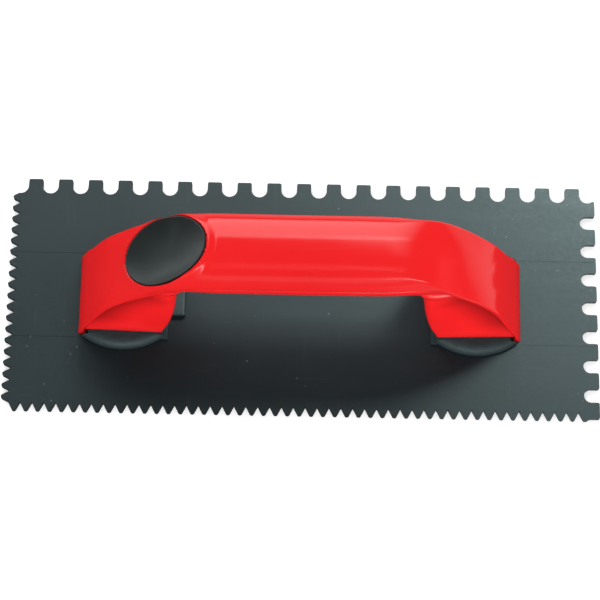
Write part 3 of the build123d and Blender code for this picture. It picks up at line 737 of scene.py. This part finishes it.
def rubber_material():
    mat, net, bsdf, _ = new_material("pad_rubber_soft")
    grain = net.noise(scale=1900, detail=3, rough=0.65)
    mid = net.noise(scale=240, detail=3, rough=0.5)
    broad = net.noise(scale=50, detail=3, rough=0.5)
    dust = net.specks(scale=700, size=(0.03, 0.08), patch_scale=150, patch=(0.62, 0.68))
    base = net.mix(net.ramp(broad), (0.0090, 0.0130, 0.0130, 1), (0.0130, 0.0175, 0.0170, 1))
    net.fill(bsdf, {
        "Base Color": net.tint(base, dust, amount=0.3, colour=(0.12, 0.12, 0.12, 1)),
        "Roughness": net.ramp(mid, to_lo=0.40, to_hi=0.48),
        "Specular Tint": (0.88, 1.0, 0.99, 1),
        "Sheen Weight": 0.05,
        "Sheen Roughness": 0.4,
        "Normal": net.bumps((mid, 0.04, 0.0004), (grain, 0.18, 0.00014)),
    })
    return mat


def floor_material():
    mat, net, bsdf, output = new_material("floor_white")
    cloud = net.ramp(net.noise(scale=3, detail=2, rough=0.5))
    net.fill(bsdf, {
        "Base Color": net.mix(cloud, (0.87, 0.87, 0.87, 1), (0.89, 0.89, 0.89, 1)),
        "Roughness": 0.85,
        "Specular IOR Level": 0.1,
        "Emission Color": (1, 1, 1, 1),
        "Emission Strength": 0.35,
    })
    # painted reflection: glossy rays see a glow painted on the table, bright to the right of and
    # behind the tool, falling off with distance
    x, y, _ = net.split_xyz(net.coord)
    right = net.times(net.ramp(x, lo=0.02, hi=0.13), net.fade(x, lo=0.15, hi=0.38))
    back = net.times(net.ramp(y, lo=0.04, hi=0.14), net.ramp(x, lo=-0.16, hi=0.0))
    back_end = net.times(net.fade(y, lo=0.28, hi=0.60), net.fade(x, lo=0.10, hi=0.34))
    glow = net.math("MAXIMUM", right, net.times(back, back_end))
    glow_gain, glow_floor = 0.50, 0.03
    strength = net.math("ADD", net.times(glow, glow_gain), glow_floor)
    mirrored = net.node("Emission", {0: (1, 1, 1, 1), 1: strength})
    surface = net.node("MixShader", {
        0: net.path("Is Glossy Ray"), 1: bsdf.outputs[0], 2: mirrored.outputs[0],
    })
    net.put(output.inputs[0], surface.outputs[0])
    return mat


blade_mat, red_mat, rubber_mat = blade_material(), red_material(), rubber_material()
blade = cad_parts["notched_blade"]
for slot in blade.material_slots:
    slot.material = blade_mat
if not blade.material_slots:
    blade.data.materials.append(blade_mat)
for obj, mat, slot_name in (
    (shell, red_mat, "handle_plastic"),
    (liner, red_mat, "handle_plastic"),
    (pad, rubber_mat, "pad_rubber"),
):
    obj.data.materials.append(mat)
bevel = blade.modifiers.new("edge", "BEVEL")
bevel.width = 0.00028
bevel.segments = 2
bevel.limit_method = "ANGLE"
bevel.angle_limit = math.radians(38)
bevel.harden_normals = False


# ------------------------------------------------------------------ floor and world
FLOOR_HALF = 3.0
FLOOR_GAP = 0.0003
floor_mesh = bpy.data.meshes.new("floor")
bm = bmesh.new()
bmesh.ops.create_grid(bm, x_segments=2, y_segments=2, size=FLOOR_HALF)
bm.to_mesh(floor_mesh)
bm.free()
floor = bpy.data.objects.new("floor", floor_mesh)
bpy.context.collection.objects.link(floor)
floor.location = (0, 0, blade_lo[2] - FLOOR_GAP)
floor_mesh.materials.append(floor_material())

# the world is much darker in mirror images
world = bpy.data.worlds.new("studio")
scene = bpy.context.scene
scene.world = world
world.use_nodes = True
sky = Net(world.node_tree)
sky.fill(world.node_tree.nodes["Background"], {
    0: (1, 1, 1, 1),
    1: sky.ramp(sky.path("Is Glossy Ray"), lo=0.0, hi=1.0, to_lo=0.55, to_hi=0.06),
})


# ------------------------------------------------------------------ lights
LIGHT_AIM = Vector((0, 0, 0.04))


def panel(name, centre, size, radiance, across=(1, 0, 0), up=(0, 1, 0), colour=(1, 1, 1),
          on=(), pattern=None, mirrored=True):
    """A soft box by its centre, its sides' directions, its size and how bright its face is.

    on: the only pieces it lights; pattern: its strength by the place on its face, as a scrim
    would give; mirrored: whether glossy pieces show it.
    """
    across = Vector(across).normalized()
    back = across.cross(Vector(up)).normalized()
    up = back.cross(across)
    if back.dot(LIGHT_AIM - Vector(centre)) > 0:
        across, back = -across, -back
    light = bpy.data.lights.new(name, "AREA")
    light.shape = "RECTANGLE"
    light.size, light.size_y = size
    light.energy = radiance * math.pi * size[0] * size[1]
    light.color = colour
    obj = bpy.data.objects.new(name, light)
    matrix = Matrix((across, up, back)).transposed().to_4x4()
    matrix.translation = Vector(centre)
    obj.matrix_world = matrix
    obj.visible_camera = False
    obj.visible_glossy = mirrored
    bpy.context.collection.objects.link(obj)
    if pattern:
        light.use_nodes = True
        net = Net(light.node_tree)
        emission = next(n for n in net.tree.nodes if n.bl_idname == "ShaderNodeEmission")
        x, y, _ = net.split_xyz(net.node("NewGeometry").outputs["Position"])
        net.put(emission.inputs["Strength"], pattern(net, x, y))
    if on:
        group = bpy.data.collections.new(name + "_on")
        for piece in on:
            group.objects.link(piece)
        obj.light_linking.receiver_collection = group


def fading_right(net, x, y):
    return net.fade(x, lo=0.06, hi=0.44)


def aslant(net, x, y):
    """A left edge running aslant, fading to the right and weaker in front."""
    edge = net.adding(0.080, y, amount=-0.104)
    side = net.ramp(net.math("SUBTRACT", x, edge), lo=-0.006, hi=0.022)
    lit = net.times(side, net.fade(x, lo=0.08, hi=0.36))
    return net.times(lit, net.ramp(y, lo=0.02, hi=0.55, to_lo=0.12, to_hi=1.0))


# behind the tool, standing, its top edge leaning over
panel("back_box", centre=(-0.10, 0.74, 0.53), up=(0, -0.33, 0.82), size=(1.14, 0.88),
      radiance=2.75, pattern=fading_right)
# overhead to the right
panel("top_right", centre=(0.20, 0.37, 0.93), size=(0.44, 0.74), radiance=2.4,
      pattern=aslant, on=(shell, liner))
# small box at the front right
panel("front_right", centre=(0.30, -0.72, 0.66), across=(0.92, 0.38, 0), up=(0.2, -0.4, 1),
      size=(0.44, 0.22), radiance=5.8, on=(shell, liner))
# faint, broad, in front
panel("front", centre=(-0.1, -0.85, 0.55), up=(0, 0.5, 0.85), size=(0.9, 0.35), radiance=0.52)
# soft wash over the blade from high at the back right
panel("blade_wash", centre=(0.42, 0.62, 1.00), across=(0, 1, 0), up=(1, 0, -0.4),
      size=(0.36, 0.34), radiance=23.0, colour=(0.90, 1.0, 0.99), on=(blade,))
# low at the back left, for the thumb pad
panel("pad_glint", centre=(-0.80, 0.52, 0.055), across=(0.5, 0.85, 0), up=(0.1, 0, 1),
      size=(0.50, 0.20), radiance=2.6, colour=(0.93, 1.0, 0.99), on=(pad,))
panel("table_left", centre=(-0.42, 0.24, 0.004), size=(0.36, 0.36), radiance=2.2, on=(pad,))
# a strip in front for the ledge on the liner
panel("ledge_strip", centre=(0.27, -0.92, 0.42), up=(0, 0.4, 0.9), size=(0.42, 0.20),
      radiance=9.0, on=(liner,))
# low in front, for the rounded fronts of the blade's feet
panel("toe_light", centre=(0.0, -1.00, 0.27), up=(0, 0.2, 1), size=(1.4, 0.48), radiance=1.9,
      colour=(0.90, 1.0, 1.0), on=(blade,))
# key and fills without a mirror image of their own
panel("key", centre=(0.06, -0.50, 1.15), size=(0.26, 0.26), radiance=22.0, mirrored=False)
panel("front_fill", centre=(0.0, -1.25, 0.32), up=(0, 0, 1), size=(1.3, 0.5), radiance=1.9,
      mirrored=False)
# steep, on the liner alone, so that the shell's edge throws its shadow down the legs
panel("leg_key", centre=(0.0, -0.20, 1.20), size=(0.30, 0.20), radiance=64.0, on=(liner,),
      mirrored=False)
for name, x, radiance in (("side_fill_left", -1.15, 1.9), ("side_fill_right", 1.15, 4.2)):
    panel(name, centre=(x, -0.25, 0.42), across=(0, 1, 0), up=(0, 0, 1), size=(1.0, 0.6),
          radiance=radiance, on=(shell, liner), mirrored=False)

# ------------------------------------------------------------------ camera
camera = bpy.data.cameras.new("camera")
camera.sensor_width = 36.0
camera.lens = 128.47584
camera.clip_end = 20
camera_obj = bpy.data.objects.new("camera", camera)
bpy.context.collection.objects.link(camera_obj)
# pitch below the horizon, heading from +Y towards +X, roll about the line of sight
pitch, heading, roll = (math.radians(angle) for angle in (71.37, 0.218, 1.284))
forward = Vector((
    math.sin(heading) * math.cos(pitch), math.cos(heading) * math.cos(pitch), -math.sin(pitch),
))
level_right = Vector((math.cos(heading), -math.sin(heading), 0.0))
level_up = level_right.cross(forward)
right = math.cos(roll) * level_right + math.sin(roll) * level_up
up = -math.sin(roll) * level_right + math.cos(roll) * level_up
matrix = Matrix((right, up, -forward)).transposed().to_4x4()
matrix.translation = Vector((-0.002261, -0.325857, 0.965318))
camera_obj.matrix_world = matrix

scene.camera = camera_obj
scene.view_settings.view_transform = "Standard"
scene.view_settings.look = "None"
scene.view_settings.exposure = 0.0
